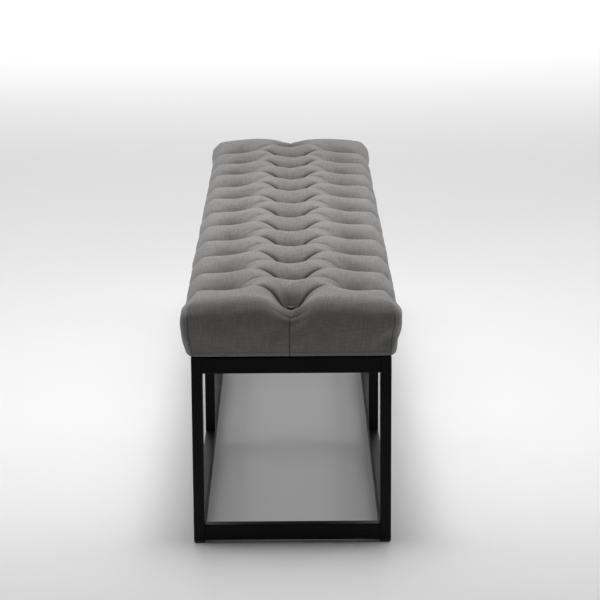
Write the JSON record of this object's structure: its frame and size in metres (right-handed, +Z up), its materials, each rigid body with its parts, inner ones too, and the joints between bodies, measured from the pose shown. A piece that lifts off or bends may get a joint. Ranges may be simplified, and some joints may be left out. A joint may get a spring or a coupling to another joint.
{
  "type": "upholstered bench",
  "caption": "Long backless bench: diamond-tufted fabric seat on a welded black rectangular-tube frame with floor rails and plastic foot glides",
  "frame": {"origin": "on the floor, below the middle of the bench", "axes": "X along the seat, Y across it, Z up; -Y is called the front"},
  "size_m": [1.8, 0.4, 0.46],
  "materials": {
    "cover_fabric": "woven, matt",
    "wadding": "loose fibre, matt",
    "foam": "open-cell foam, matt",
    "twine": "twisted twine, matt",
    "dust_cover": "non-woven cloth, matt",
    "plywood": "unfinished plywood",
    "powder_coat": "matt black powder coat",
    "glide_plastic": "moulded, matt",
    "zinc_plated_steel": "zinc plated"
  },
  "bodies": {
    "root": {"seat_cover": "cover_fabric", "seat_wadding": "wadding", "seat_foam": "foam", "seat_board": "plywood", "tuft_buttons": "cover_fabric", "tuft_ties": "twine", "tuft_tie_washers": "zinc_plated_steel", "dust_cover": "dust_cover", "cover_staples": "zinc_plated_steel", "seat_mounting_tabs": "powder_coat", "seat_bolts": "zinc_plated_steel", "seat_bolt_washers": "zinc_plated_steel", "seat_tee_nuts": "zinc_plated_steel", "front_top_rail": "powder_coat", "front_floor_rail": "powder_coat", "front_left_corner_leg": "powder_coat", "front_left_inner_leg": "powder_coat", "front_right_corner_leg": "powder_coat", "front_right_inner_leg": "powder_coat", "rear_top_rail": "powder_coat", "rear_floor_rail": "powder_coat", "rear_left_corner_leg": "powder_coat", "rear_left_inner_leg": "powder_coat", "rear_right_corner_leg": "powder_coat", "rear_right_inner_leg": "powder_coat", "left_end_top_rail": "powder_coat", "left_end_floor_rail": "powder_coat", "left_inner_cross_rail": "powder_coat", "right_end_top_rail": "powder_coat", "right_end_floor_rail": "powder_coat", "right_inner_cross_rail": "powder_coat", "front_left_foot_glide": "glide_plastic", "front_right_foot_glide": "glide_plastic", "rear_left_foot_glide": "glide_plastic", "rear_right_foot_glide": "glide_plastic"}
  },
  "joints": []
}
